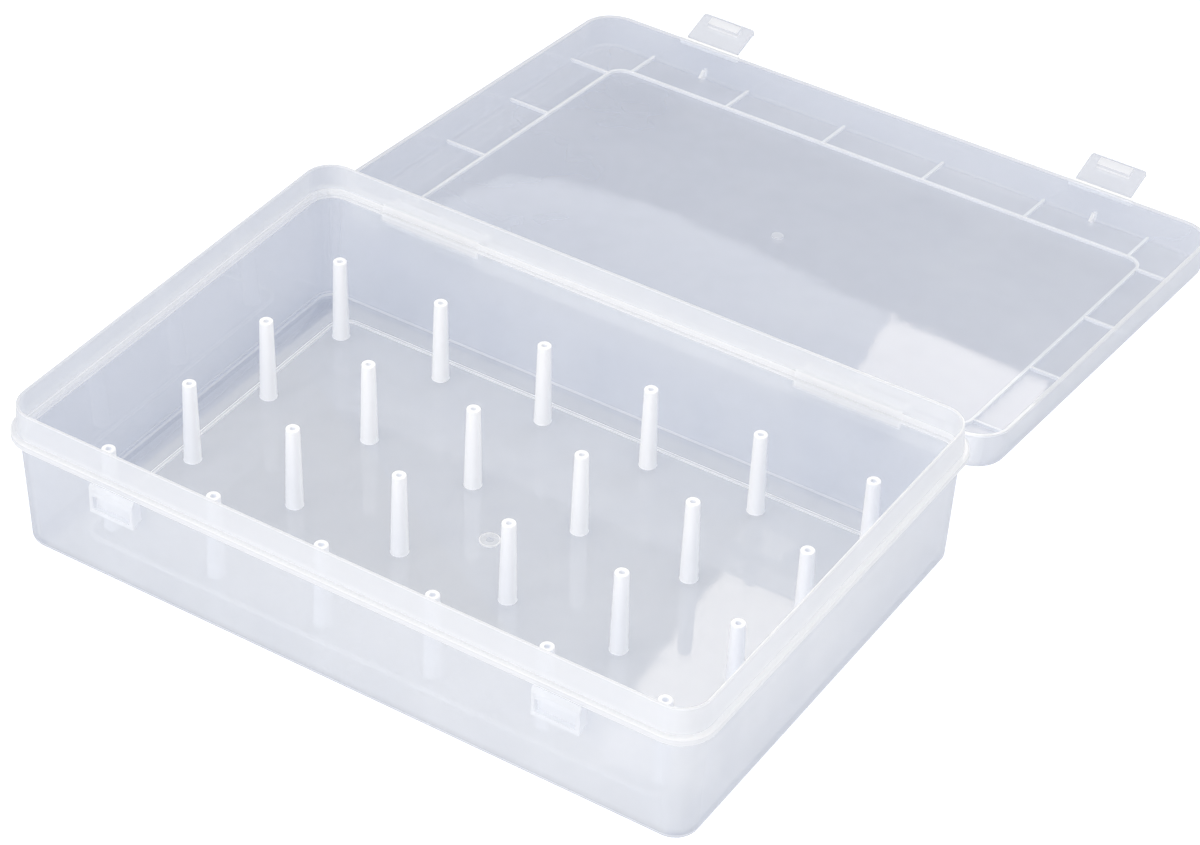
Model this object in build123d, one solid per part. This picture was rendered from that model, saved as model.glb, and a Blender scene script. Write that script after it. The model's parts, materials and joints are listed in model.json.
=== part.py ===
from build123d import *
import math
import os

os.makedirs("parts", exist_ok=True)

# Embroidery thread box: a shallow translucent tray with upright spool pegs, and a lid that
# swings over on two clip hinges at the back and is held at the front by two flap latches.
# X runs along the length, -Y is the latch side, +Y the hinge side, and Z is up. The origin is
# the centre of the tray's underside. The lid is drawn shut, then turned to its open rest.

# ---------------------------------------------------------------- sizes, mm
# Pegs. Their grid sets the plan of the whole box.
PEG_PITCH = 50.0          # centre to centre, both ways
PEG_COLUMNS = 6           # along X
PEG_ROWS = 4              # along Y
PEG_TO_EDGE = 30.0        # outermost peg centre to the outside of the bead
PEG_H = 37.7              # above the floor
PEG_BASE_D = 7.2
PEG_TOP_D = 5.6
PEG_BORE_D = 2.2          # core hole, open at the top
PEG_BORE_DEPTH = 30.0
PEG_ROUND = 0.4           # edge round at the peg's tip

# Plan shared by the bead and the lid's rim.
CORNER_R = 15.0           # upright corner radius of the bead

# Tray.
FLOOR_T = 2.0
WALL_T = 1.8
WALL_H = 50.0             # floor underside to the bead's underside
WALL_DRAFT = 1.9          # how far the foot of the wall leans in
FOOT_ROUND = 3.0          # outer round between wall and underside
COVE_R = 1.2              # inner round between wall and floor
BEAD_OUT = 3.4            # bead over the wall
BEAD_H = 3.5
BEAD_ROUND = 0.8
LEDGE_RISE = 0.8          # inner ledge above the bead's underside
COLLAR_H = 11.5           # upstand over the bead, inside the shut lid
COLLAR_T = 1.8            # at its foot
COLLAR_DRAFT = 0.8        # how far its outer face leans in
RIM_ROUND = 0.35

# Raised line on the floor round the pegs, and the moulding mark at its centre.
FLOOR_LINE_GAP_X = 2.8    # outermost peg's foot to the line
FLOOR_LINE_GAP_Y = 5.8
FLOOR_LINE_W = 1.6
FLOOR_LINE_H = 0.7
FLOOR_LINE_R = 9.0
FLOOR_MARK_D = 8.6
FLOOR_MARK_H = 0.5
FLOOR_MARK_DIMPLE_D = 3.2

# Lid.
LID_H = 16.0
LID_WALL_T = 1.7
LID_PANEL_T = 1.8
LID_DRAFT = 1.0           # how far the wall leans in at the panel
LID_ROUND = 3.0           # outer round between wall and panel
LID_COVE_R = 1.4
LID_GAP = 0.3             # rim over the bead when shut
COLLAR_FIT = 0.4          # lid wall to collar, all round
RIB_W = 1.2
RIB_H = 1.5
RIB_RING_INSET = 22.0     # outside of the lid to the ring of the ribs
RIB_RING_R = 8.0
LID_MARK_D = 5.0
LID_MARK_H = 0.6
GUSSET_W = 1.6
GUSSET_REACH = 3.4        # along the panel and up the wall

# Clip hinges.
HINGE_INSET = 57.0        # end of the box to the middle of a hinge
AXIS_OUT = 4.5            # hinge axis beyond the bead
AXIS_DROP = 4.0           # hinge axis below the lid's rim
PIN_D = 3.2
PIN_FIT = 0.03            # radial, pin in its lugs
CLIP_FIT = 0.08           # radial, clip round the pin
LUG_R = 2.7
LUG_T = 2.4
LUG_COUNT = 3
LUG_PITCH = 22.0
LUG_PLATE_DROP = 6.0      # back plate below the bead
BEAD_CUT_GAP = 0.5        # end of the bead to the back plate
BEAD_END_R = 1.5
CLIP_R = 3.4
CLIP_SIDE_GAP = 0.8       # clip to lug
CLIP_MOUTH = 2.6
CLIP_TO_PLATE = 0.3
CLIP_ARM_H = 7.0          # up the lid's wall
CLIP_ARM_T = 1.8
HEEL_W = 2.0              # stop ribs at both ends of a clip
HEEL_GAP = 0.3            # stop rib to the back plate, lid fully open
LID_LEAN = 5.57           # degrees past flat at which the stop ribs meet the plate

# Catches on the tray.
LATCH_INSET = 56.3        # end of the box to the middle of a latch
CATCH_W = 20.6
CATCH_H = 12.6            # below the bead, at its face
CATCH_PROUD = 1.3         # face beyond the bead
CATCH_RAMP = 2.0          # height of the slope from the bead to the face
CATCH_UNDERCUT = 2.2      # how much higher its underside is at the wall
CATCH_BAND = 1.8          # band under the pocket
CATCH_ROUND = 0.5
POCKET_DEPTH = 2.2

# Latches on the lid.
BAR_W = 30.5
BAR_H = 3.2
BAR_T = 1.6
BAR_ROUND = 0.4
FLAP_AXIS_OUT = 1.0       # living hinge beyond the bar
FLAP_AXIS_RISE = 1.0      # living hinge above the lid's rim
WEB_T = 0.6               # thickness at the living hinge
WEB_GAP = 0.1
FLAP_W = 26.5
FLAP_L = 16.4             # from the living hinge to the tip
FLAP_T = 1.5
FLAP_SHOULDER = 1.3       # living hinge to the full thickness
FLAP_CORNER_R = 1.5
LIP_L = 1.2
LIP_H = 0.6
HOOK_W = 15.5
HOOK_L = 5.0
HOOK_H = 2.0
HOOK_FROM_TIP = 1.6
HOOK_SLOPE = 0.9          # slope of its back edge
HOOK_SIDE_FIT = 0.75      # hook to the pocket's sides
HOOK_FIT = 0.4            # hook to the pocket's upper edge
FLAP_REST = 22.2          # degrees from the lid's plane towards the catch

# ---------------------------------------------------------------- places
PEG_X = [PEG_PITCH * (i - (PEG_COLUMNS - 1) / 2) for i in range(PEG_COLUMNS)]
PEG_Y = [PEG_PITCH * (j - (PEG_ROWS - 1) / 2) for j in range(PEG_ROWS)]
HALF_X = PEG_X[-1] + PEG_TO_EDGE
HALF_Y = PEG_Y[-1] + PEG_TO_EDGE
BEAD_TOP = WALL_H + BEAD_H
COLLAR_TOP = BEAD_TOP + COLLAR_H
COLLAR_INSET = LID_WALL_T + COLLAR_FIT
COLLAR_INNER = COLLAR_INSET + COLLAR_T
LID_RIM = BEAD_TOP + LID_GAP
LID_TOP = LID_RIM + LID_H
LID_CEILING = LID_TOP - LID_PANEL_T
AXIS_Y = HALF_Y + AXIS_OUT
AXIS_Z = LID_RIM - AXIS_DROP
HINGE_X = HALF_X - HINGE_INSET
LATCH_X = HALF_X - LATCH_INSET
LUG_X = [LUG_PITCH * (i - (LUG_COUNT - 1) / 2) for i in range(LUG_COUNT)]
HINGE_W = LUG_X[-1] - LUG_X[0] + LUG_T
CLIP_W = LUG_PITCH - LUG_T - 2 * CLIP_SIDE_GAP
LID_AXIS = Axis((0, AXIS_Y, AXIS_Z), (1, 0, 0))
LID_OPEN = 180 + LID_LEAN
FLAP_AXIS_Y = HALF_Y + BAR_T + FLAP_AXIS_OUT
FLAP_AXIS_Z = LID_RIM + FLAP_AXIS_RISE
FLAP_AXIS = Axis((0, -FLAP_AXIS_Y, FLAP_AXIS_Z), (1, 0, 0))
SIDES = {"left": -1, "right": 1}
ROW_NAMES = "abcdefghijklmnop"
THROUGH = 1.0             # how far a cutting tool runs past what it cuts


# ---------------------------------------------------------------- shapes
def plan(inset, z):
    """Rounded rectangle that lies `inset` inside the bead's outline, at height z."""
    outline = RectangleRounded(2 * (HALF_X - inset), 2 * (HALF_Y - inset), CORNER_R - inset)
    return Pos(0, 0, z) * outline


def drafted(inset_low, z_low, inset_high, z_high):
    """Block between two plans, with straight leaning sides."""
    return loft([plan(inset_low, z_low), plan(inset_high, z_high)], ruled=True)


def ring(outer_half_x, outer_half_y, corner_r, width, z, height):
    """Raised line of a given width and height round a rounded rectangle."""
    outer = RectangleRounded(2 * outer_half_x, 2 * outer_half_y, corner_r)
    inner = RectangleRounded(2 * (outer_half_x - width), 2 * (outer_half_y - width), corner_r - width)
    return Pos(0, 0, z) * extrude(outer - inner, height)


def bar(points, x_mid, width):
    """Solid with one outline of (y, z) points all along X, centred on x_mid."""
    outline = make_face(Plane.YZ * Polyline(*points, close=True))
    return Pos(x_mid, 0, 0) * extrude(outline, width / 2, both=True)


def rod(y, z, radius, x_mid, width):
    """Round bar along X."""
    return Pos(x_mid, y, z) * Rot(0, 90, 0) * Cylinder(radius, width)


def block(x_mid, width, y_low, y_high, z_low, z_high):
    """Plain block, given by its width along X and its limits in Y and Z."""
    centre = Pos(x_mid, (y_low + y_high) / 2, (z_low + z_high) / 2)
    return centre * Box(width, y_high - y_low, z_high - z_low)


def edges_at(shape, z):
    """Edges that lie at height z."""
    return shape.edges().filter_by_position(Axis.Z, z - 0.001, z + 0.001)


def upright(shape, y):
    """Upright edges in the plane of a given y."""
    return shape.edges().filter_by(Axis.Z).filter_by_position(Axis.Y, y - 0.001, y + 0.001)


# ---------------------------------------------------------------- tray
def wall_inset(z):
    """Outer face of the tray's leaning wall at height z."""
    return BEAD_OUT + WALL_DRAFT * (1 - z / WALL_H)


def tray_outside():
    """Everything inside the outer skin of the tray, with the bead cut away at the hinges."""
    wall = drafted(wall_inset(0), 0, wall_inset(WALL_H), WALL_H)
    wall = fillet(edges_at(wall, 0), FOOT_ROUND)
    bead = extrude(plan(0, WALL_H), BEAD_H)
    cut_w = HINGE_W + 2 * BEAD_CUT_GAP
    for side in SIDES.values():
        bead -= block(side * HINGE_X, cut_w, HALF_Y - COLLAR_INSET, HALF_Y + THROUGH,
                      WALL_H - THROUGH, BEAD_TOP + THROUGH)
    bead = fillet(upright(bead, HALF_Y), BEAD_END_R)
    outer_top = edges_at(bead, BEAD_TOP)
    outer_low = edges_at(bead, WALL_H)
    bead = fillet(outer_top + outer_low, BEAD_ROUND)
    collar = drafted(COLLAR_INSET, BEAD_TOP, COLLAR_INSET + COLLAR_DRAFT, COLLAR_TOP)
    core = extrude(plan(COLLAR_INSET, WALL_H), BEAD_H)
    return wall + bead + core + collar


def tray_inside():
    """Hollow of the tray, wider above the ledge."""
    ledge = WALL_H + LEDGE_RISE
    well = drafted(wall_inset(FLOOR_T) + WALL_T, FLOOR_T, wall_inset(ledge) + WALL_T, ledge)
    well = fillet(edges_at(well, FLOOR_T), COVE_R)
    mouth = extrude(plan(COLLAR_INNER, ledge), COLLAR_TOP - ledge)
    return well + mouth


def tray(outside):
    """Floor, leaning walls, bead and collar in one shell."""
    shell = outside - tray_inside()
    rim_round = min(RIM_ROUND, (COLLAR_T - COLLAR_DRAFT) / 3)
    shell = fillet(edges_at(shell, COLLAR_TOP), rim_round)
    line_x = PEG_X[-1] + PEG_BASE_D / 2 + FLOOR_LINE_GAP_X + FLOOR_LINE_W
    line_y = PEG_Y[-1] + PEG_BASE_D / 2 + FLOOR_LINE_GAP_Y + FLOOR_LINE_W
    shell += ring(line_x, line_y, FLOOR_LINE_R, FLOOR_LINE_W, FLOOR_T, FLOOR_LINE_H)
    mark = Circle(FLOOR_MARK_D / 2) - Circle(FLOOR_MARK_DIMPLE_D / 2)
    return shell + Pos(0, 0, FLOOR_T) * extrude(mark, FLOOR_MARK_H)


def peg(x, y):
    """Tapered spool peg with a core hole, standing on the floor."""
    body = Cone(PEG_BASE_D / 2, PEG_TOP_D / 2, PEG_H, align=(Align.CENTER, Align.CENTER, Align.MIN))
    body = fillet(edges_at(body, PEG_H), PEG_ROUND)
    bore = Cylinder(PEG_BORE_D / 2, PEG_BORE_DEPTH, align=(Align.CENTER, Align.CENTER, Align.MAX))
    return Pos(x, y, FLOOR_T) * (body - Pos(0, 0, PEG_H) * bore)


def catch(side, outside):
    """Frame under the bead whose pocket takes the hook of a latch flap."""
    face = HALF_Y + CATCH_PROUD
    root = HALF_Y - BEAD_OUT - WALL_T / 2
    low = WALL_H - CATCH_H
    outline = [(-root, WALL_H), (-HALF_Y, WALL_H), (-face, WALL_H - CATCH_RAMP)]
    outline += [(-face, low), (-root, low + CATCH_UNDERCUT)]
    x_mid = side * LATCH_X
    body = bar(outline, x_mid, CATCH_W)
    body = fillet(upright(body, -face), CATCH_ROUND)
    hook_top = FLAP_AXIS_Z - (FLAP_L - HOOK_FROM_TIP - HOOK_L)
    pocket_w = HOOK_W + 2 * HOOK_SIDE_FIT
    body -= block(x_mid, pocket_w, -face - THROUGH, -face + POCKET_DEPTH,
                  low + CATCH_BAND, hook_top + HOOK_FIT)
    return body - outside


def hinge_bracket(side, outside):
    """Back plate on the tray's wall with the lugs that hold a hinge pin."""
    x_mid = side * HINGE_X
    plate = block(x_mid, HINGE_W, HALF_Y - BEAD_OUT - WALL_T / 2, HALF_Y,
                  WALL_H - LUG_PLATE_DROP, BEAD_TOP)
    for offset in LUG_X:
        x = x_mid + offset
        plate += block(x, LUG_T, HALF_Y - THROUGH, AXIS_Y, AXIS_Z - LUG_R, AXIS_Z + LUG_R)
        plate += rod(AXIS_Y, AXIS_Z, LUG_R, x, LUG_T)
    plate -= rod(AXIS_Y, AXIS_Z, PIN_D / 2 + PIN_FIT, x_mid, HINGE_W + 2 * THROUGH)
    return plate - outside


def hinge_pin(side):
    """Round pin through the lugs of one hinge."""
    return rod(AXIS_Y, AXIS_Z, PIN_D / 2, side * HINGE_X, HINGE_W)


# ---------------------------------------------------------------- lid, drawn shut
def lid_outside():
    """Everything inside the outer skin of the lid."""
    skin = drafted(0, LID_RIM, LID_DRAFT, LID_TOP)
    return fillet(edges_at(skin, LID_TOP), LID_ROUND)


def lid_inside():
    """Hollow of the lid, up to the panel."""
    lean = LID_DRAFT * (LID_CEILING - LID_RIM) / LID_H
    hollow = drafted(LID_WALL_T, LID_RIM, LID_WALL_T + lean, LID_CEILING)
    return fillet(edges_at(hollow, LID_CEILING), LID_COVE_R)


def lid_shell(outside, inside):
    """Panel and walls of the lid, with the gussets behind the latches."""
    shell = outside - inside
    shell = fillet(edges_at(shell, LID_RIM), min(RIM_ROUND, LID_WALL_T / 3))
    wall_y = HALF_Y - LID_WALL_T - LID_DRAFT
    for side in SIDES.values():
        outline = [(-wall_y - THROUGH, LID_CEILING), (-wall_y + GUSSET_REACH, LID_CEILING)]
        outline += [(-wall_y, LID_CEILING - GUSSET_REACH), (-wall_y - THROUGH, LID_CEILING - GUSSET_REACH)]
        shell += bar(outline, side * LATCH_X, GUSSET_W) & inside
    mark = extrude(Circle(LID_MARK_D / 2), LID_MARK_H)
    return shell + Pos(0, 0, LID_CEILING - LID_MARK_H) * mark


def rib_frame(inside):
    """Ring of ribs under the panel, tied to the walls by short ribs at the pegs' pitch."""
    ring_x = HALF_X - RIB_RING_INSET
    ring_y = HALF_Y - RIB_RING_INSET
    low = LID_CEILING - RIB_H
    ties = Part()
    for x in PEG_X:
        ties += block(x, RIB_W, -HALF_Y, HALF_Y, low, LID_CEILING)
    for y in PEG_Y:
        ties += block(0, 2 * HALF_X, y - RIB_W / 2, y + RIB_W / 2, low, LID_CEILING)
    ring_block = extrude(RectangleRounded(2 * ring_x, 2 * ring_y, RIB_RING_R), RIB_H)
    ties -= Pos(0, 0, low) * ring_block
    return ring(ring_x, ring_y, RIB_RING_R, RIB_W, low, RIB_H) + (ties & inside)


def at_axis(u, w):
    """Point (y, z) at u outwards and w up from the hinge axis."""
    return (AXIS_Y + u, AXIS_Z + w)


def shut_point(u, w):
    """Where a point of the open lid, given from the hinge axis, lies when the lid is shut."""
    angle = math.radians(LID_OPEN)
    turned_u = u * math.cos(angle) - w * math.sin(angle)
    turned_w = u * math.sin(angle) + w * math.cos(angle)
    return at_axis(turned_u, turned_w)


def clip(x_mid, outside):
    """C-shaped clip round the pin, with an arm up the lid's wall and two stop ribs."""
    near = CLIP_TO_PLATE - AXIS_OUT
    root = -AXIS_OUT - LID_WALL_T / 2
    arm_top = AXIS_DROP + CLIP_ARM_H
    arm = [at_axis(root, AXIS_DROP), at_axis(root, arm_top), at_axis(-AXIS_OUT, arm_top)]
    shoulder = CLIP_R * math.sin(math.radians(45))
    arm += [at_axis(near + CLIP_ARM_T, AXIS_DROP + CLIP_ARM_T), at_axis(shoulder, shoulder)]
    arm += [at_axis(0, 0), at_axis(-CLIP_R, 0), at_axis(near, CLIP_R / 2), at_axis(near, AXIS_DROP)]
    body = bar(arm, x_mid, CLIP_W) + rod(AXIS_Y, AXIS_Z, CLIP_R, x_mid, CLIP_W)
    plate_foot = WALL_H - LUG_PLATE_DROP - AXIS_Z
    heel = [at_axis(0, 0), at_axis(CLIP_R, 0)]
    heel += [shut_point(HEEL_GAP - AXIS_OUT, -CLIP_R), shut_point(HEEL_GAP - AXIS_OUT, plate_foot)]
    heel += [at_axis(-AXIS_OUT, arm_top), at_axis(near, AXIS_DROP)]
    for end in (-1, 1):
        body += bar(heel, x_mid + end * (CLIP_W - HEEL_W) / 2, HEEL_W)
    body -= rod(AXIS_Y, AXIS_Z, PIN_D / 2 + CLIP_FIT, x_mid, CLIP_W + 2 * THROUGH)
    body -= block(x_mid, CLIP_W + 2 * THROUGH, AXIS_Y - CLIP_MOUTH / 2, AXIS_Y + CLIP_MOUTH / 2,
                  AXIS_Z - CLIP_R - THROUGH, AXIS_Z)
    return body - outside


def latch_bar(side, outside):
    """Thick bar on the lid's front wall that ends in the thin nose of the living hinge."""
    x_mid = side * LATCH_X
    face = HALF_Y + BAR_T
    body = block(x_mid, BAR_W, -face, -HALF_Y + LID_WALL_T, LID_RIM, LID_RIM + BAR_H)
    body = fillet(upright(body, -face), BAR_ROUND)
    body -= outside
    body += block(x_mid, FLAP_W, -FLAP_AXIS_Y, -face + BAR_ROUND,
                  FLAP_AXIS_Z - WEB_T / 2, FLAP_AXIS_Z + WEB_T / 2)
    return body + rod(-FLAP_AXIS_Y, FLAP_AXIS_Z, WEB_T / 2, x_mid, FLAP_W)


def latch_flap(side):
    """Flap drawn straight out from the living hinge, hook downwards."""
    x_mid = side * LATCH_X
    start = FLAP_AXIS_Y + WEB_T / 2 + WEB_GAP
    shoulder = FLAP_AXIS_Y + FLAP_SHOULDER
    tip = FLAP_AXIS_Y + FLAP_L
    z = FLAP_AXIS_Z
    outline = [(-start, z - WEB_T / 2), (-shoulder, z - FLAP_T / 2), (-tip, z - FLAP_T / 2)]
    outline += [(-tip, z + FLAP_T / 2 + LIP_H), (-tip + LIP_L, z + FLAP_T / 2 + LIP_H)]
    outline += [(-tip + 2 * LIP_L, z + FLAP_T / 2), (-shoulder, z + FLAP_T / 2), (-start, z + WEB_T / 2)]
    body = bar(outline, x_mid, FLAP_W)
    body = fillet(upright(body, -tip), FLAP_CORNER_R)
    hook_end = tip - HOOK_FROM_TIP
    hook_low = z - FLAP_T / 2 - HOOK_H
    hook = [(-hook_end, z), (-hook_end, z - FLAP_T / 2), (-hook_end + HOOK_SLOPE, hook_low)]
    hook += [(-hook_end + HOOK_L, hook_low), (-hook_end + HOOK_L, z)]
    return body + bar(hook, x_mid, HOOK_W)


# ---------------------------------------------------------------- all pieces, in their rest pose
def open_lid(shape):
    """Turn a piece of the shut lid to the open rest."""
    return shape.rotate(LID_AXIS, -LID_OPEN)


def base_pieces():
    """Tray, pegs, catches, hinge brackets and pins."""
    outside = tray_outside()
    pieces = {"base_tray": tray(outside)}
    for row, y in enumerate(PEG_Y):
        for column, x in enumerate(PEG_X):
            pieces[f"spool_peg_{ROW_NAMES[row]}{column + 1}"] = peg(x, y)
    for name, side in SIDES.items():
        pieces[f"catch_{name}"] = catch(side, outside)
        pieces[f"hinge_bracket_{name}"] = hinge_bracket(side, outside)
        pieces[f"hinge_pin_{name}"] = hinge_pin(side)
    return pieces


def lid_pieces():
    """Lid shell, ribs, clips and latch bars, shut."""
    outside = lid_outside()
    inside = lid_inside()
    pieces = {"lid_shell": lid_shell(outside, inside), "lid_rib_frame": rib_frame(inside)}
    for name, side in SIDES.items():
        for place, offset in (("outer", side * LUG_PITCH / 2), ("inner", -side * LUG_PITCH / 2)):
            pieces[f"lid_clip_{name}_{place}"] = clip(side * HINGE_X + offset, outside)
        pieces[f"latch_bar_{name}"] = latch_bar(side, outside)
    return pieces


def flap_pieces():
    """Latch flaps at their natural angle to the shut lid."""
    return {
        f"latch_flap_{name}": latch_flap(side).rotate(FLAP_AXIS, FLAP_REST)
        for name, side in SIDES.items()
    }


for node, piece in base_pieces().items():
    export_step(piece, f"parts/{node}.step")
for node, piece in (lid_pieces() | flap_pieces()).items():
    export_step(open_lid(piece), f"parts/{node}.step")
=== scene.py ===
import json
import math

import bmesh
import bpy
from mathutils import Matrix, Quaternion, Vector


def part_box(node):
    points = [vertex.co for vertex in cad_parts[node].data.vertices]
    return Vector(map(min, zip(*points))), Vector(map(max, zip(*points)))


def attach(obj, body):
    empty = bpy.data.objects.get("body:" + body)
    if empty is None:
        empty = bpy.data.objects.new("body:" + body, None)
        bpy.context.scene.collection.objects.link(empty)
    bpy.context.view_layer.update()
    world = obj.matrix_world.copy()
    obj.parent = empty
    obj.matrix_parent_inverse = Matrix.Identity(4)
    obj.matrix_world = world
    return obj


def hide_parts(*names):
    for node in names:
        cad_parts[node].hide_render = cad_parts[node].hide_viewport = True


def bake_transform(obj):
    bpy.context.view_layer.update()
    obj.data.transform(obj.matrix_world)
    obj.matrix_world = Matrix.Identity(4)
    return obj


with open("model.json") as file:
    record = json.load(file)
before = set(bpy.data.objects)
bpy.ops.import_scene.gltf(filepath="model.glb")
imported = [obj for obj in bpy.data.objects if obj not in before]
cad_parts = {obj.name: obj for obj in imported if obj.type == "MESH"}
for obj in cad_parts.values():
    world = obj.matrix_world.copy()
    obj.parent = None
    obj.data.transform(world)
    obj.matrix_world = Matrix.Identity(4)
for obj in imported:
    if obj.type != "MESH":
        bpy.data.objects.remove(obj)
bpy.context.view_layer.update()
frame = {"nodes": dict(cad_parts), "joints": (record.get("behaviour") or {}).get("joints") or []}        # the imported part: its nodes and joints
MM = 0.001

# Embroidery thread box in natural polypropylene. The moulding is milky and see-through, so each
# wall passes part of what is behind it and adds a little white of its own: one wall looks
# blue-grey, and two or three in a row look almost white.

# ---------------------------------------------------------------- sizes of the mouldings
FLOOR_TOP = 2.0 * MM
RAISED = FLOOR_TOP + 0.05 * MM         # what is higher than this stands out of the floor
LINE_HALF = (133.0 * MM, 86.0 * MM)    # to the outside of the raised line round the pegs
LINE_ROUND = 9.0 * MM     # its outer corners
LINE_W = 1.6 * MM
LINE_EDGE = 0.3 * MM      # how much of its top takes a painted highlight along each edge
FLOOR_MARK_R = 4.3 * MM   # raised disc in the middle of the floor
FOOT_TOP = 2.7 * MM       # the foot of a wall catches the light up to here
WALL_LOW = 6.0 * MM       # above its foot round, a wall is plain
LEFT_X = -148.0 * MM      # the left, front and back walls stand beyond these
FRONT_Y = -100.0 * MM
BACK_Y = 99.0 * MM
BEAD_LOW = 50.0 * MM
BEAD_TOP = 53.5 * MM
BEAD_EDGE = 0.6 * MM      # how much of it takes a painted highlight along each edge
COLLAR_TOP = 65.0 * MM
RIM_EDGE = 0.4 * MM       # how much of a wall is whiter at its rim: the thick plastic seen along the wall, and a painted highlight
HALF_X = 155.0 * MM
HINGE_X = 98.0 * MM       # middle of a hinge, from the middle of the box
HINGE_HALF_W = 23.2 * MM
LATCH_X = 98.7 * MM       # middle of a latch
HOOK_X = (91.0 * MM, 106.4 * MM)    # where the hook stands on its flap in the photographed pose
HOOK_Y = (333.6 * MM, 339.1 * MM)

# Heights and depths on the lid are those of the shut lid.
LID_AXIS = Vector((0, 109.5 * MM, 49.8 * MM))
LID_OPEN = math.radians(185.57)
LID_RIM = 53.8 * MM
LID_CEILING = 68.0 * MM
LID_CLIP_Y = 101.0 * MM   # the wall that carries the clips stands beyond this
LID_CLIP_X = 145.0 * MM   # and runs this far to both sides
LID_LATCH_Y = -102.0 * MM    # the wall that carries the latches stands beyond this
GATE_MARK_R = 2.6 * MM    # round mark in the middle of the lid, where the melt came in
GUSSET_HALF_T = 0.8 * MM  # small gussets behind the latches, from the panel to the wall
GUSSET_LOW = LID_CEILING - 3.3 * MM
GUSSET_Y = -99.5 * MM


# ---------------------------------------------------------------- colours and nodes
def colour(code):
    """An sRGB hex value as linear red, green, blue and alpha."""
    parts = [int(code[i:i + 2], 16) / 255 for i in (0, 2, 4)]
    linear = [c / 12.92 if c <= 0.04045 else ((c + 0.055) / 1.055) ** 2.4 for c in parts]
    return (*linear, 1.0)


def add(tree, kind, inputs=None, **settings):
    """Adds a shader node, sets its properties, and fills its inputs with values or links."""
    made = tree.nodes.new("ShaderNode" + kind)
    for name, value in settings.items():
        setattr(made, name, value)
    for name, value in (inputs or {}).items():
        if isinstance(value, bpy.types.NodeSocket):
            tree.links.new(value, made.inputs[name])
        else:
            made.inputs[name].default_value = value
    return made


def new_material(name):
    """An empty node material."""
    material = bpy.data.materials.new(name)
    material.use_nodes = True
    material.node_tree.nodes.clear()
    return material


# ---------------------------------------------------------------- natural polypropylene
# A haze is the share of the light that one face of a wall scatters. The lid is a little thinner
# than the tray, so it is clearer. The tables give what some places add to it or take from it.
TRAY_HAZE = 0.31
TRAY_MORE = {
    # Painted highlight: the edges of the raised line on the floor are whitened to look lit.
    "floor_line_highlights": 0.6,
    # Painted highlight: the rim of the raised disc in the middle of the floor is whitened.
    "floor_mark_rim_highlight": 0.45,
    "wall_foot": 0.25,
    "walls": 0.03,
    # Painted shade: the left wall is made clearer, so it looks darker, as a wall that little light
    # reaches.
    "left_wall_painted_shade": -0.13,
    # Painted light: the front wall is whitened, as a face that the lamps light strongly.
    "front_wall_painted_light": 0.035,
    "to_the_right": 0.05 / HALF_X,     # both mouldings are a little whiter at their right end
    "hinge_roots": 0.58,
    "back_bead": 0.25,
    "bead": 0.16,
    # Painted highlights along the low and top edges of the bead.
    "bead_low_edge_highlight": 0.28,
    "bead_top_edge_highlight": 0.28,
    "collar": 0.14,
    # Partly painted highlight: the top of the collar is whiter, also as thick plastic seen along the
    # wall.
    "collar_rim_highlight": 0.2,
}
LID_HAZE = 0.255
LID_MORE = {
    # Partly painted highlight: the rim is whiter, as thick plastic seen along the wall and as a
    # highlight.
    "rim": 0.35,
    # Partly painted light: the wall that carries the clips is whiter, partly as a thicker wall and
    # partly to look lit.
    "clip_wall": 0.25,
    "latch_wall": -0.04,
    "gussets": 0.5,
    "gate_mark": 0.2,
    "to_the_right": 0.05 / HALF_X,
}
HOOK_MORE = 0.22          # a flap is more than twice as thick where its hook stands on it
SLANT_MORE = 0.35         # a wall seen along its face has more plastic in the way
CLOUD_MORE = 0.09

WHITE = colour("F8F8F8")  # of the light that a face scatters
CLEAR = colour("F4F6FA")  # and of the light that it lets through
CLEAR_EDGE = colour("EAEDF1")   # along a face, where it bends the dark of the room into view
MOST_FACES = 6.5          # a line of sight through more faces than this ends on the next one
LIGHT_EASE = 0.95         # scattered light mostly goes on, so the light of the lamps meets this
                          # much less of the haze
THIN_THROUGH = 0.45       # share of the scattered light that comes out behind a thin wall
CLIP_WALL_THROUGH = 0.25  # behind the lid's wall that carries the clips
THICK_THROUGH = 0.12      # and behind a solid part
SKIN_FLAT = 0.04          # share of the light that the glossy skin mirrors, seen square on
SKIN_SLANT = 0.6          # and seen along the face
TRAY_SKIN = 0.02          # roughness of the polished skin
LID_SKIN = 0.01

CLOUDS = 25.0             # per metre, so the clouds are 40 mm wide
SINK = 66.0               # per metre, so the sink marks are 15 mm wide
SINK_DEPTH = 0.02 * MM
POLISHED = (2500.0, 0.0008 * MM)    # grain of a polished mould: 0.4 mm wide, and its depth
DULL = (1600.0, 0.006 * MM)         # and the coarser grain of the small parts, 0.6 mm wide


def within(tree, *limits):
    """1 where all the values are within their limits, and a soft step to 0 past them. Each of the
    limits is a value, its low end, its high end and the width of the step. None leaves an end open."""
    steps = []
    for value, low, high, soft in limits:
        if low is not None:
            steps.append((value, low - soft, low))
        if high is not None:
            steps.append((value, high + soft, high))
    mask = 1.0
    for value, start, end in steps:
        mask = add(tree, "MapRange", {
            "Value": value, "From Min": start, "From Max": end, "To Max": mask}).outputs[0]
    return mask


def whitened(tree, haze, shares, masks):
    """The haze with a share more of it at each place that has a mask."""
    for name, mask in masks.items():
        haze = add(tree, "Math", {
            0: mask, 1: shares[name], 2: haze}, operation="MULTIPLY_ADD").outputs[0]
    return haze


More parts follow.
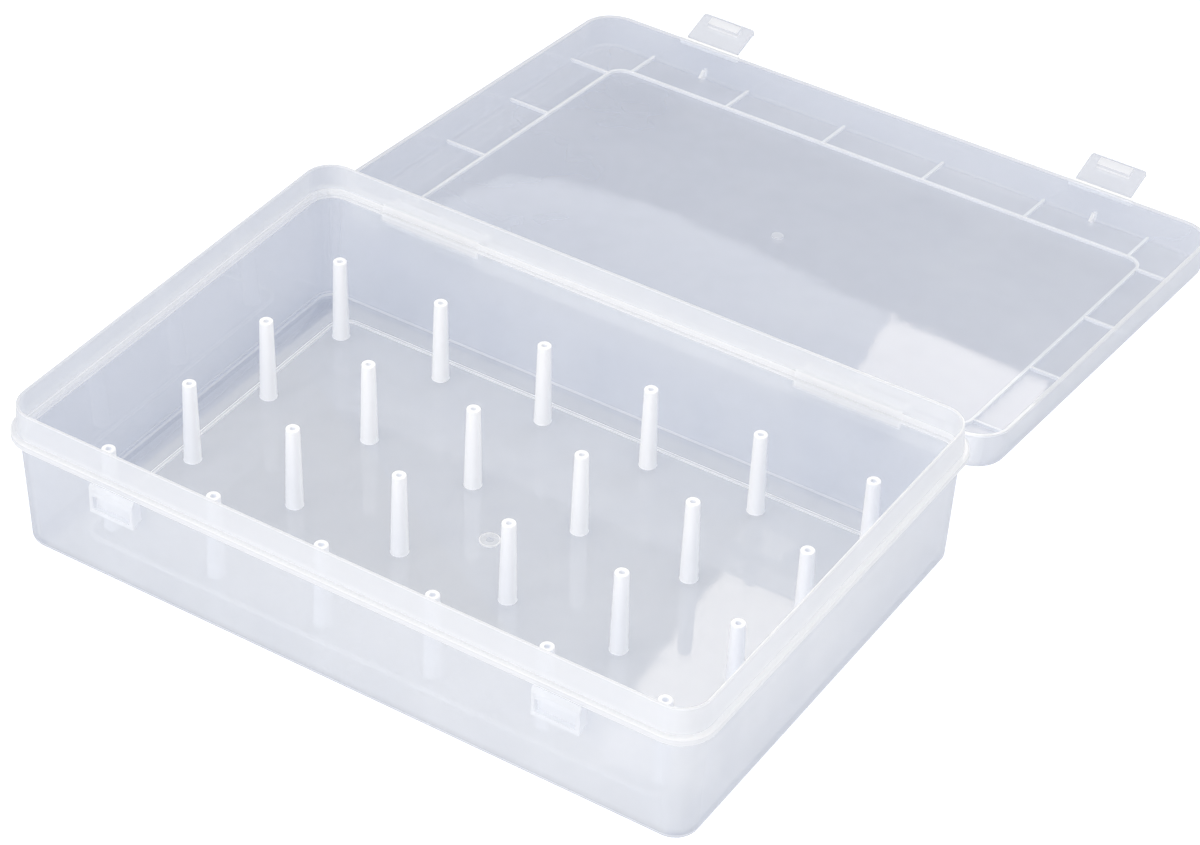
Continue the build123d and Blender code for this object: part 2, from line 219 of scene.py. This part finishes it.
def clouded(tree, place, haze):
    """The haze with faint clouds in it, where the melt flowed unevenly."""
    clouds = add(tree, "TexNoise", {
        "Vector": place, "Scale": CLOUDS, "Detail": 2.0, "Roughness": 0.6}).outputs[0]
    shift = add(tree, "Math", {0: clouds, 1: -0.5}, operation="ADD").outputs[0]
    return add(tree, "Math", {0: shift, 1: CLOUD_MORE, 2: haze}, operation="MULTIPLY_ADD").outputs[0]


def ripple(tree, place, grain, depth):
    """Normals of a moulded face: shallow sink marks, and a grain of the mould's own finish."""
    sink = add(tree, "TexNoise", {"Vector": place, "Scale": SINK, "Detail": 1.0}).outputs[0]
    large = add(tree, "Bump", {"Strength": 1.0, "Distance": SINK_DEPTH, "Height": sink}).outputs[0]
    fine = add(tree, "TexNoise", {"Vector": place, "Scale": grain, "Detail": 2.0}).outputs[0]
    return add(tree, "Bump", {
        "Strength": 1.0, "Distance": depth, "Height": fine, "Normal": large}).outputs[0]


def milky(tree, haze, white, through_share, skin, normal):
    """Milky moulded plastic: part see-through, part scattering both ways, with a glossy skin."""
    facing = add(tree, "LayerWeight", {"Blend": 0.5}).outputs["Facing"]
    fifth = add(tree, "Math", {0: facing, 1: 5.0}, operation="POWER").outputs[0]
    mirror = add(tree, "MapRange", {
        "Value": fifth, "To Min": SKIN_FLAT, "To Max": SKIN_SLANT}).outputs[0]
    path = add(tree, "LightPath").outputs
    last = add(tree, "Math", {
        0: path["Transparent Depth"], 1: MOST_FACES}, operation="GREATER_THAN").outputs[0]
    cube = add(tree, "Math", {0: facing, 1: 3.0}, operation="POWER").outputs[0]
    slant = add(tree, "Math", {0: cube, 1: SLANT_MORE, 2: haze}, operation="MULTIPLY_ADD").outputs[0]
    closed = add(tree, "Math", {0: slant, 1: last}, operation="MAXIMUM", use_clamp=True).outputs[0]
    unseen = add(tree, "Math", {
        0: path["Is Shadow Ray"], 1: path["Is Diffuse Ray"]}, operation="MAXIMUM").outputs[0]
    kept = add(tree, "Math", {0: unseen, 1: -LIGHT_EASE, 2: 1.0}, operation="MULTIPLY_ADD").outputs[0]
    scattered = add(tree, "Math", {0: closed, 1: kept}, operation="MULTIPLY").outputs[0]
    front = add(tree, "BsdfDiffuse", {"Color": white, "Normal": normal}).outputs[0]
    back = add(tree, "BsdfTranslucent", {"Color": white}).outputs[0]
    scatter = add(tree, "MixShader", {0: through_share, 1: front, 2: back}).outputs[0]
    tint = add(tree, "MixRGB", {0: fifth, 1: CLEAR, 2: CLEAR_EDGE}).outputs[0]
    through = add(tree, "BsdfTransparent", {"Color": tint}).outputs[0]
    body = add(tree, "MixShader", {0: scattered, 1: through, 2: scatter}).outputs[0]
    gloss = add(tree, "BsdfGlossy", {
        "Color": (1, 1, 1, 1), "Roughness": skin, "Normal": normal}).outputs[0]
    whole = add(tree, "MixShader", {0: mirror, 1: body, 2: gloss}).outputs[0]
    add(tree, "OutputMaterial", {"Surface": whole})


def reach(tree, x, y):
    """Level distance that two steps along X and Y make together."""
    flat = add(tree, "CombineXYZ", {0: x, 1: y}).outputs[0]
    return add(tree, "VectorMath", {0: flat}, operation="LENGTH").outputs["Value"]


def floor_line_highlights(tree, parts):
    """1 on both edges of the raised line that goes round the pegs on the floor, where a painted
    highlight goes.
    """
    past = []
    for axis, half in zip("XY", LINE_HALF):
        size = add(tree, "Math", {0: parts[axis]}, operation="ABSOLUTE").outputs[0]
        over = add(tree, "Math", {0: size, 1: LINE_ROUND - half}, operation="ADD").outputs[0]
        past.append(add(tree, "Math", {0: over, 1: 0.0}, operation="MAXIMUM").outputs[0])
    away = reach(tree, *past)
    inside = LINE_ROUND - LINE_W
    outer = within(tree, (away, LINE_ROUND - LINE_EDGE, LINE_ROUND + 0.1 * MM, 0.1 * MM))
    inner = within(tree, (away, inside - 0.1 * MM, inside + LINE_EDGE, 0.1 * MM))
    edges = add(tree, "Math", {0: outer, 1: inner}, operation="ADD").outputs[0]
    raised = within(tree, (parts["Z"], RAISED, None, 0.03 * MM))
    return add(tree, "Math", {0: edges, 1: raised}, operation="MULTIPLY").outputs[0]


def tray_plastic():
    """Natural polypropylene, injection moulded and polished: clear floor and walls, a slightly
    whiter collar, painted highlights on the foot of the walls, the raised line, the floor mark,
    the bead and the rim, whose white is also thick plastic seen along the wall, painted shade on
    the left wall and painted light on the front wall."""
    material = new_material("natural_polypropylene_tray")
    tree = material.node_tree
    place = add(tree, "TexCoord").outputs["Object"]
    parts = add(tree, "SeparateXYZ", {0: place}).outputs
    across = parts["X"]
    depth = parts["Y"]
    height = parts["Z"]
    side = add(tree, "Math", {0: across}, operation="ABSOLUTE").outputs[0]
    away = reach(tree, across, depth)
    back = (depth, BACK_Y, None, 1.0 * MM)
    bead = (height, BEAD_LOW, BEAD_TOP, 0.2 * MM)
    haze = whitened(tree, TRAY_HAZE, TRAY_MORE, {
        # painted highlights on the edges of the raised line
        "floor_line_highlights": floor_line_highlights(tree, parts),
        # painted highlight round the rim of the raised disc
        "floor_mark_rim_highlight": within(tree, (height, RAISED, None, 0.03 * MM),
                             (away, FLOOR_MARK_R - 0.5 * MM, FLOOR_MARK_R + 0.1 * MM, 0.1 * MM)),
        "wall_foot": within(tree, (height, FLOOR_TOP + 0.1 * MM, FOOT_TOP, 0.05 * MM)),
        "walls": within(tree, (height, WALL_LOW, None, 3.0 * MM)),
        # painted shade: the left wall is clearer and so darker
        "left_wall_painted_shade": within(tree, (across, None, LEFT_X, 8.0 * MM)),
        # painted light: the front wall is whiter
        "front_wall_painted_light": within(tree, (depth, None, FRONT_Y, 8.0 * MM)),
        "to_the_right": across,
        "hinge_roots": within(tree, back, (height, BEAD_LOW - 2.0 * MM, BEAD_TOP, 1.5 * MM),
                              (side, HINGE_X - HINGE_HALF_W, HINGE_X + HINGE_HALF_W, 1.0 * MM)),
        "back_bead": within(tree, back, bead),
        "bead": within(tree, bead),
        # painted highlights along the edges of the bead
        "bead_low_edge_highlight": within(tree, (height, BEAD_LOW, BEAD_LOW + BEAD_EDGE, 0.2 * MM)),
        "bead_top_edge_highlight": within(tree, (height, BEAD_TOP - BEAD_EDGE, BEAD_TOP, 0.2 * MM)),
        "collar": within(tree, (height, BEAD_LOW, None, 1.0 * MM)),
        # the collar's rim: partly a painted highlight, partly thick plastic seen along the wall
        "collar_rim_highlight": within(tree, (height, COLLAR_TOP - RIM_EDGE, None, 0.3 * MM)),
    })
    normal = ripple(tree, place, *POLISHED)
    milky(tree, clouded(tree, place, haze), WHITE, THIN_THROUGH, TRAY_SKIN, normal)
    return material


def lid_plastic():
    """Natural polypropylene, injection moulded and polished, with a rim that is whiter: thick plastic
    seen along the wall, and a painted highlight. The wall that carries the clips is whiter too,
    partly as a thicker wall and partly by painted light.
    """
    material = new_material("natural_polypropylene_lid")
    tree = material.node_tree
    place = add(tree, "TexCoord").outputs["Object"]
    shut = Matrix.Rotation(LID_OPEN, 3, "X")
    drawn = add(tree, "Mapping", {
        "Vector": place, "Rotation": (LID_OPEN, 0, 0),
        "Location": LID_AXIS - shut @ LID_AXIS}).outputs[0]
    parts = add(tree, "SeparateXYZ", {0: drawn}).outputs
    across = parts["X"]
    depth = parts["Y"]
    height = parts["Z"]
    side = add(tree, "Math", {0: across}, operation="ABSOLUTE").outputs[0]
    away = reach(tree, across, depth)
    clip_wall = within(tree, (side, None, LID_CLIP_X, 5.0 * MM), (depth, LID_CLIP_Y, None, 0.5 * MM))
    haze = whitened(tree, LID_HAZE, LID_MORE, {
        # the rim: partly a painted highlight, partly thick plastic seen along the wall
        "rim": within(tree, (height, LID_RIM, LID_RIM + RIM_EDGE, 0.3 * MM)),
        # the clip wall: whiter partly as a thicker wall, partly by painted light
        "clip_wall": clip_wall,
        "latch_wall": within(tree, (depth, None, LID_LATCH_Y, 2.0 * MM)),
        "gussets": within(tree, (side, LATCH_X - GUSSET_HALF_T, LATCH_X + GUSSET_HALF_T, 0.1 * MM),
                          (height, GUSSET_LOW, None, 0.1 * MM), (depth, None, GUSSET_Y, 0.5 * MM)),
        "gate_mark": within(tree, (away, None, GATE_MARK_R, 0.2 * MM)),
        "to_the_right": across,
    })
    through_share = add(tree, "Math", {
        0: clip_wall, 1: CLIP_WALL_THROUGH - THIN_THROUGH, 2: THIN_THROUGH},
        operation="MULTIPLY_ADD").outputs[0]
    normal = ripple(tree, drawn, *POLISHED)
    milky(tree, clouded(tree, drawn, haze), WHITE, through_share, LID_SKIN, normal)
    return material


def thick_plastic(name, white, haze, edge, skin, hook=False):
    """Natural polypropylene in a thick section, so it looks almost white. The edge is the share
    that the rounds add to its haze, a painted highlight along them, and the skin is its roughness."""
    material = new_material(name)
    tree = material.node_tree
    place = add(tree, "TexCoord").outputs["Object"]
    # The edge attribute marks the painted highlight along the rounds.
    masks = {"edge": add(tree, "Attribute", attribute_name="edge").outputs["Fac"]}
    if hook:
        parts = add(tree, "SeparateXYZ", {0: place}).outputs
        side = add(tree, "Math", {0: parts["X"]}, operation="ABSOLUTE").outputs[0]
        masks["hook"] = within(tree, (side, *HOOK_X, 0.1 * MM), (parts["Y"], *HOOK_Y, 0.1 * MM))
    whole = whitened(tree, haze, {"edge": edge, "hook": HOOK_MORE}, masks)
    normal = ripple(tree, place, *DULL)
    milky(tree, clouded(tree, place, whole), colour(white), THICK_THROUGH, skin, normal)
    return material


# ---------------------------------------------------------------- pieces
PEG_SINK = 0.4 * MM       # the foot runs this far into the floor, because it is one moulding
PEG_FOOT_ROUND = 0.1 * MM
PEG_TIP_ROUND = 0.45 * MM
PEG_BORE_R = 1.1 * MM
PEG_BORE_DEPTH = 30.0 * MM
PEG_FLARE = 0.4 * MM      # round where the bore opens
PEG_TIP_R = 2.8 * MM
PEG_FOOT_R = 3.6 * MM
PEG_STEPS = 40
SMOOTH_ANGLE = math.radians(40)     # faces that meet at more than this keep a crisp edge
EDGE_ANGLE = math.radians(35)       # edges that are sharper than this are rounded
FLAT_ANGLE = math.radians(1)        # faces that meet at less than this are one
WELD = 0.001 * MM         # corners closer than this are one


def arc(centre, radius, start, end, steps):
    """Points (radius, height) of a round, from a start to an end angle in degrees."""
    turn = [math.radians(start + (end - start) * i / steps) for i in range(steps + 1)]
    return [(centre[0] + radius * math.cos(a), centre[1] + radius * math.sin(a)) for a in turn]


def piece(name, shape, body, finish):
    """Turns a bmesh into a finished object that rides on a body, if one is named."""
    mesh = bpy.data.meshes.new(name)
    shape.to_mesh(mesh)
    shape.free()
    mesh.shade_smooth()
    mesh.set_sharp_from_angle(angle=SMOOTH_ANGLE)
    mesh.materials.append(finish)
    made = bpy.data.objects.new(name, mesh)
    bpy.context.scene.collection.objects.link(made)
    if body:
        even = made.modifiers.new("even", "WEIGHTED_NORMAL")
        even.keep_sharp = True
        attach(made, body)
    return made


def lathe(outline, centre, steps):
    """Closed shape turned about an upright axis, from points (radius, height) that start and end
    on the axis."""
    shape = bmesh.new()
    points = [shape.verts.new((centre.x + r, centre.y, z)) for r, z in outline]
    edges = [shape.edges.new(pair) for pair in zip(points, points[1:])]
    bmesh.ops.spin(shape, geom=points + edges, cent=centre, axis=(0, 0, 1), angle=math.tau,
                   steps=steps, use_merge=True)
    bmesh.ops.remove_doubles(shape, verts=shape.verts, dist=WELD)
    bmesh.ops.recalc_face_normals(shape, faces=shape.faces)
    return shape


def peg_outline(tip):
    """Half section of a peg: sunk foot with its round, taper, rounded tip and core hole."""
    foot = FLOOR_TOP + PEG_FOOT_ROUND
    outline = [(0, FLOOR_TOP - PEG_SINK), (PEG_FOOT_R + PEG_FOOT_ROUND, FLOOR_TOP - PEG_SINK)]
    outline += arc((PEG_FOOT_R + PEG_FOOT_ROUND, foot), PEG_FOOT_ROUND, 270, 180, 5)
    outline += [((PEG_FOOT_R + PEG_TIP_R) / 2, (tip + FLOOR_TOP) / 2)]
    outline += arc((PEG_TIP_R - PEG_TIP_ROUND, tip - PEG_TIP_ROUND), PEG_TIP_ROUND, 0, 90, 5)
    outline += arc((PEG_BORE_R + PEG_FLARE, tip - PEG_FLARE), PEG_FLARE, 90, 180, 3)
    floor = tip - PEG_BORE_DEPTH
    return outline + [(PEG_BORE_R, floor), (0, floor - 0.5 * PEG_BORE_R)]


def pegs(finish):
    """The spool pegs with their rounds and core holes, in place of the plain ones."""
    for node in [n for n in frame["nodes"] if n.startswith("spool_peg")]:
        low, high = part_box(node)
        middle = (low + high) / 2
        shape = lathe(peg_outline(high.z), Vector((middle.x, middle.y, 0)), PEG_STEPS)
        made = piece(f"turned_{node}", shape, "base", finish)
        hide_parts(node)


def softened(node, body, finish, width):
    """Copy of a small frame part with its sharp edges rounded, as a mould leaves them. The attribute
    edge is 1 along the middle of the rounds, where a painted highlight goes."""
    shape = bmesh.new()
    shape.from_mesh(frame["nodes"][node].data)
    bmesh.ops.remove_doubles(shape, verts=shape.verts, dist=WELD)
    bmesh.ops.dissolve_limit(
        shape, angle_limit=FLAT_ANGLE, verts=shape.verts, edges=shape.edges)
    painted_edge_highlight = shape.verts.layers.float.new("edge")
    sharp = [e for e in shape.edges if e.is_manifold and e.calc_face_angle() > EDGE_ANGLE]
    made = bmesh.ops.bevel(shape, geom=sharp, offset=width, offset_type="OFFSET", segments=2,
                           profile=0.5, affect="EDGES", clamp_overlap=True, material=-1)
    fresh = set(made["faces"])
    # painted highlight: 1 along the middle of each round
    for corner in made["verts"]:
        corner[painted_edge_highlight] = float(all(face in fresh for face in corner.link_faces))
    result = piece(f"moulded_{node}", shape, body, finish)
    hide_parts(node)


WEB_HALF_T = 0.22 * MM    # living hinge, thinner than the nose and the root that it runs into
WEB_IN = 0.8 * MM         # how far it runs into them
WEB_INSET = 0.15 * MM     # how much shorter than the flap it is at each end


def living_hinge(side, finish):
    """Thin strip of the same moulding between a latch bar and its flap, where the real one bends. Here
    it is a fixed piece that rides on no body.
    """
    joint = next(j for j in frame["joints"] if j["name"] == f"latch_{side}_hinge")
    low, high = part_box(f"latch_flap_{side}")
    axis = Vector(joint["pos_m"])
    inwards = Vector((0, -math.cos(LID_OPEN - math.pi), math.sin(LID_OPEN - math.pi)))
    middle = (low + high) / 2
    outwards = Vector((0, middle.y - axis.y, middle.z - axis.z)).normalized()
    places = [inwards * WEB_IN, inwards * WEB_IN / 2, Vector(),
              outwards * WEB_IN / 2, outwards * WEB_IN]
    shape = bmesh.new()
    line = [shape.verts.new((low.x + WEB_INSET, axis.y + p.y, axis.z + p.z)) for p in places]
    for pair in zip(line, line[1:]):
        shape.edges.new(pair)
    swept = bmesh.ops.extrude_edge_only(shape, edges=shape.edges[:])
    moved = [v for v in swept["geom"] if isinstance(v, bmesh.types.BMVert)]
    bmesh.ops.translate(shape, verts=moved, vec=(high.x - low.x - 2 * WEB_INSET, 0, 0))
    bmesh.ops.subdivide_edges(shape, edges=shape.edges, cuts=1)
    bmesh.ops.recalc_face_normals(shape, faces=shape.faces)
    bmesh.ops.solidify(shape, geom=shape.faces[:], thickness=2 * WEB_HALF_T)
    bmesh.ops.translate(shape, verts=shape.verts, vec=(0, 0, -WEB_HALF_T))
    bmesh.ops.recalc_face_normals(shape, faces=shape.faces)
    made = piece(f"living_hinge_{side}", shape, None, finish)
    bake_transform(made)


def dress():
    """Gives each piece of the frame its finish, and puts the detailed pieces in."""
    tray = tray_plastic()
    lid = lid_plastic()
    # A peg is a thick moulded tube with a dull face: an even, soft white from foot to tip.
    peg = thick_plastic("natural_polypropylene_peg", "F6F6F7", haze=0.92, edge=0.0, skin=0.22)
    # A catch is a moulded block that light gets into: grey faces, with a painted highlight along its
    # edges.
    block = thick_plastic("natural_polypropylene_thick", "F8F8F8", haze=0.42, edge=0.4, skin=0.15)
    # A moulded rib is narrow and low: a pale line, with a painted highlight along its edges.
    rib = thick_plastic("natural_polypropylene_rib", "F8F8F8", haze=0.42, edge=0.15, skin=0.1)
    # A latch bar doubles the wall that it is moulded on: nearly as white as a peg, and smoother.
    bar = thick_plastic("natural_polypropylene_bar", "F6F6F6", haze=0.86, edge=0.1, skin=0.15)
    # A flap is a moulded plate: clearer, and greyer by a painted shade in its scatter colour, with
    # painted highlights on its edges and a white hook on it.
    flap = thick_plastic(
        "natural_polypropylene_flap", "EDEDEE", haze=0.3, edge=0.3, skin=0.1, hook=True)
    for name, node in frame["nodes"].items():
        for slot in node.material_slots:
            slot.material = lid if name.startswith("lid_shell") else tray
    pegs(peg)
    softened("lid_rib_frame", "lid", rib, 0.3 * MM)
    for side in ("left", "right"):
        softened(f"catch_{side}", "base", block, 0.7 * MM)
        softened(f"hinge_bracket_{side}", "base", peg, 0.4 * MM)
        softened(f"hinge_pin_{side}", "base", peg, 0.3 * MM)
        for place in ("outer", "inner"):
            softened(f"lid_clip_{side}_{place}", "lid", peg, 0.25 * MM)
        softened(f"latch_bar_{side}", "lid", bar, 0.2 * MM)
        softened(f"latch_flap_{side}", f"latch_{side}", flap, 0.2 * MM)
        living_hinge(side, flap)


# ---------------------------------------------------------------- studio
CAMERA_PLACE = Vector((0.6103, -0.9210, 0.9210))
CAMERA_AZIMUTH = math.radians(31.41)
CAMERA_ELEVATION = math.radians(37.89)
CAMERA_ROLL = math.radians(2.13)
CAMERA_LENS = 111.4       # in millimetres, as the sensor's width
CAMERA_SENSOR = 36.0
LAMP_AIM = (0, 0.1, 0)
CARD_Y = 1.6              # reflector cards stand this far behind the table's middle
FLAG_Y = 1.7              # and the grey flag behind them, so that what is polished has a dim ground
TABLE_SIZE = 12.0
TABLE_GLOW = 0.62         # with the light of the lamps, this makes the open table plain white
ROOM_LIGHT = 0.95


def bare_view(tree):
    """1 for what the camera sees past the box, and 0 for what it sees through the plastic."""
    path = add(tree, "LightPath").outputs
    clear = add(tree, "Math", {
        0: path["Transparent Depth"], 1: 0.5}, operation="LESS_THAN").outputs[0]
    return add(tree, "Math", {
        0: clear, 1: path["Is Camera Ray"]}, operation="MULTIPLY").outputs[0]


def studio_floor():
    """White table. Beyond the box it is plain white, and through the plastic its own shade shows."""
    bpy.ops.mesh.primitive_plane_add(size=TABLE_SIZE)
    floor = bpy.context.object
    floor.name = "studio_floor"
    material = new_material("white_table")
    tree = material.node_tree
    bare = bare_view(tree)
    lit = add(tree, "BsdfDiffuse", {"Color": colour("B9BDC9")}).outputs[0]
    glow = add(tree, "Emission", {"Color": (1, 1, 1, 1), "Strength": TABLE_GLOW}).outputs[0]
    open_floor = add(tree, "AddShader", {0: lit, 1: glow}).outputs[0]
    mixed = add(tree, "MixShader", {0: bare, 1: lit, 2: open_floor}).outputs[0]
    add(tree, "OutputMaterial", {"Surface": mixed})
    floor.data.materials.append(material)


def surroundings():
    """White backdrop for the camera, and a soft grey room for the light."""
    world = bpy.data.worlds.new("studio")
    bpy.context.scene.world = world
    world.use_nodes = True
    tree = world.node_tree
    tree.nodes.clear()
    bare = bare_view(tree)
    room = add(tree, "Background", {"Color": colour("F5F4F1"), "Strength": ROOM_LIGHT}).outputs[0]
    white = add(tree, "Background", {"Color": (1, 1, 1, 1), "Strength": 1.0}).outputs[0]
    both = add(tree, "MixShader", {0: bare, 1: room, 2: white}).outputs[0]
    add(tree, "OutputWorld", {"Surface": both})


def softbox(name, place, width, height, power):
    """Area lamp turned to the box. It lights the box, but the polished faces don't mirror it."""
    data = bpy.data.lights.new(name, "AREA")
    data.shape = "RECTANGLE"
    data.size = width
    data.size_y = height
    data.energy = power
    data.color = colour("FFFCF7")[:3]
    lamp = bpy.data.objects.new(name, data)
    bpy.context.scene.collection.objects.link(lamp)
    turn = (Vector(LAMP_AIM) - Vector(place)).to_track_quat("-Z", "Y")
    lamp.matrix_world = Matrix.Translation(place) @ turn.to_matrix().to_4x4()
    lamp.visible_glossy = False


def lamps():
    """Softboxes round the table."""
    softbox("lamp_top", (0, 0.1, 1.6), width=1.2, height=1.2, power=4.8)
    softbox("lamp_key", (-1.0, -1.75, 0.95), width=1.2, height=0.8, power=19.4)
    softbox("lamp_right", (1.6, -1.2, 0.6), width=1.2, height=0.8, power=14.8)
    softbox("lamp_back", (0.4, 1.9, 1.1), width=1.4, height=0.8, power=12.6)


def card(name, outline, tint, bottom, top, away=CARD_Y):
    """Upright card behind the box that only its gloss shows. Its glow changes from bottom to top,
    which are each a height and the strength there."""
    shape = bmesh.new()
    shape.faces.new([shape.verts.new((x, away, z)) for x, z in outline])
    mesh = bpy.data.meshes.new(name)
    shape.to_mesh(mesh)
    shape.free()
    board = bpy.data.objects.new(name, mesh)
    bpy.context.scene.collection.objects.link(board)
    material = new_material(name + "_glow")
    tree = material.node_tree
    place = add(tree, "TexCoord").outputs["Object"]
    height = add(tree, "SeparateXYZ", {0: place}).outputs["Z"]
    power = add(tree, "MapRange", {
        "Value": height, "From Min": bottom[0], "To Min": bottom[1],
        "From Max": top[0], "To Max": top[1]}).outputs[0]
    glow = add(tree, "Emission", {"Color": colour(tint), "Strength": power}).outputs[0]
    add(tree, "OutputMaterial", {"Surface": glow})
    mesh.materials.append(material)
    board.visible_camera = False
    board.visible_diffuse = False
    board.visible_transmission = False
    board.visible_shadow = False


def cards():
    """What the polished panels mirror: a slanted window of light, a wide card and a grey flag."""
    window = [(-0.535, 0.765), (-0.38, 0.77), (-0.50, 1.75), (-0.93, 1.85), (-0.867, 1.703),
              (-0.777, 1.504)]
    card("card_window", window, "FFF6EA", (0.7, 3.55), (1.8, 3.55))
    wide = [(-1.15, 1.3), (-1.08, 1.0), (-1.006, 0.83), (-0.936, 0.776), (-0.87, 0.757),
            (-0.794, 0.748), (-0.679, 0.750), (-0.575, 0.762), (-0.535, 0.765), (-0.70, 1.3)]
    card("card_wide", wide, "FFFFFF", (0.75, 1.4), (1.1, 0.25))
    flag = [(-2.8, 0.3), (1.6, 0.3), (1.6, 3.2), (-2.8, 3.2)]
    card("card_flag", flag, "FFFFFF", (0.3, 0.15), (3.2, 0.15), FLAG_Y)


def camera():
    """Camera where the photograph was taken from."""
    data = bpy.data.cameras.new("camera")
    data.lens = CAMERA_LENS
    data.sensor_width = CAMERA_SENSOR
    data.clip_start = 0.05
    data.clip_end = 50.0
    back = Vector((
        math.sin(CAMERA_AZIMUTH) * math.cos(CAMERA_ELEVATION),
        -math.cos(CAMERA_AZIMUTH) * math.cos(CAMERA_ELEVATION),
        math.sin(CAMERA_ELEVATION)))
    turn = (-back).to_track_quat("-Z", "Y") @ Quaternion((0, 0, 1), CAMERA_ROLL)
    eye = bpy.data.objects.new("camera", data)
    bpy.context.scene.collection.objects.link(eye)
    eye.matrix_world = Matrix.Translation(CAMERA_PLACE) @ turn.to_matrix().to_4x4()
    bpy.context.scene.camera = eye


dress()
studio_floor()
surroundings()
lamps()
cards()
camera()
bpy.context.scene.view_settings.view_transform = "Standard"
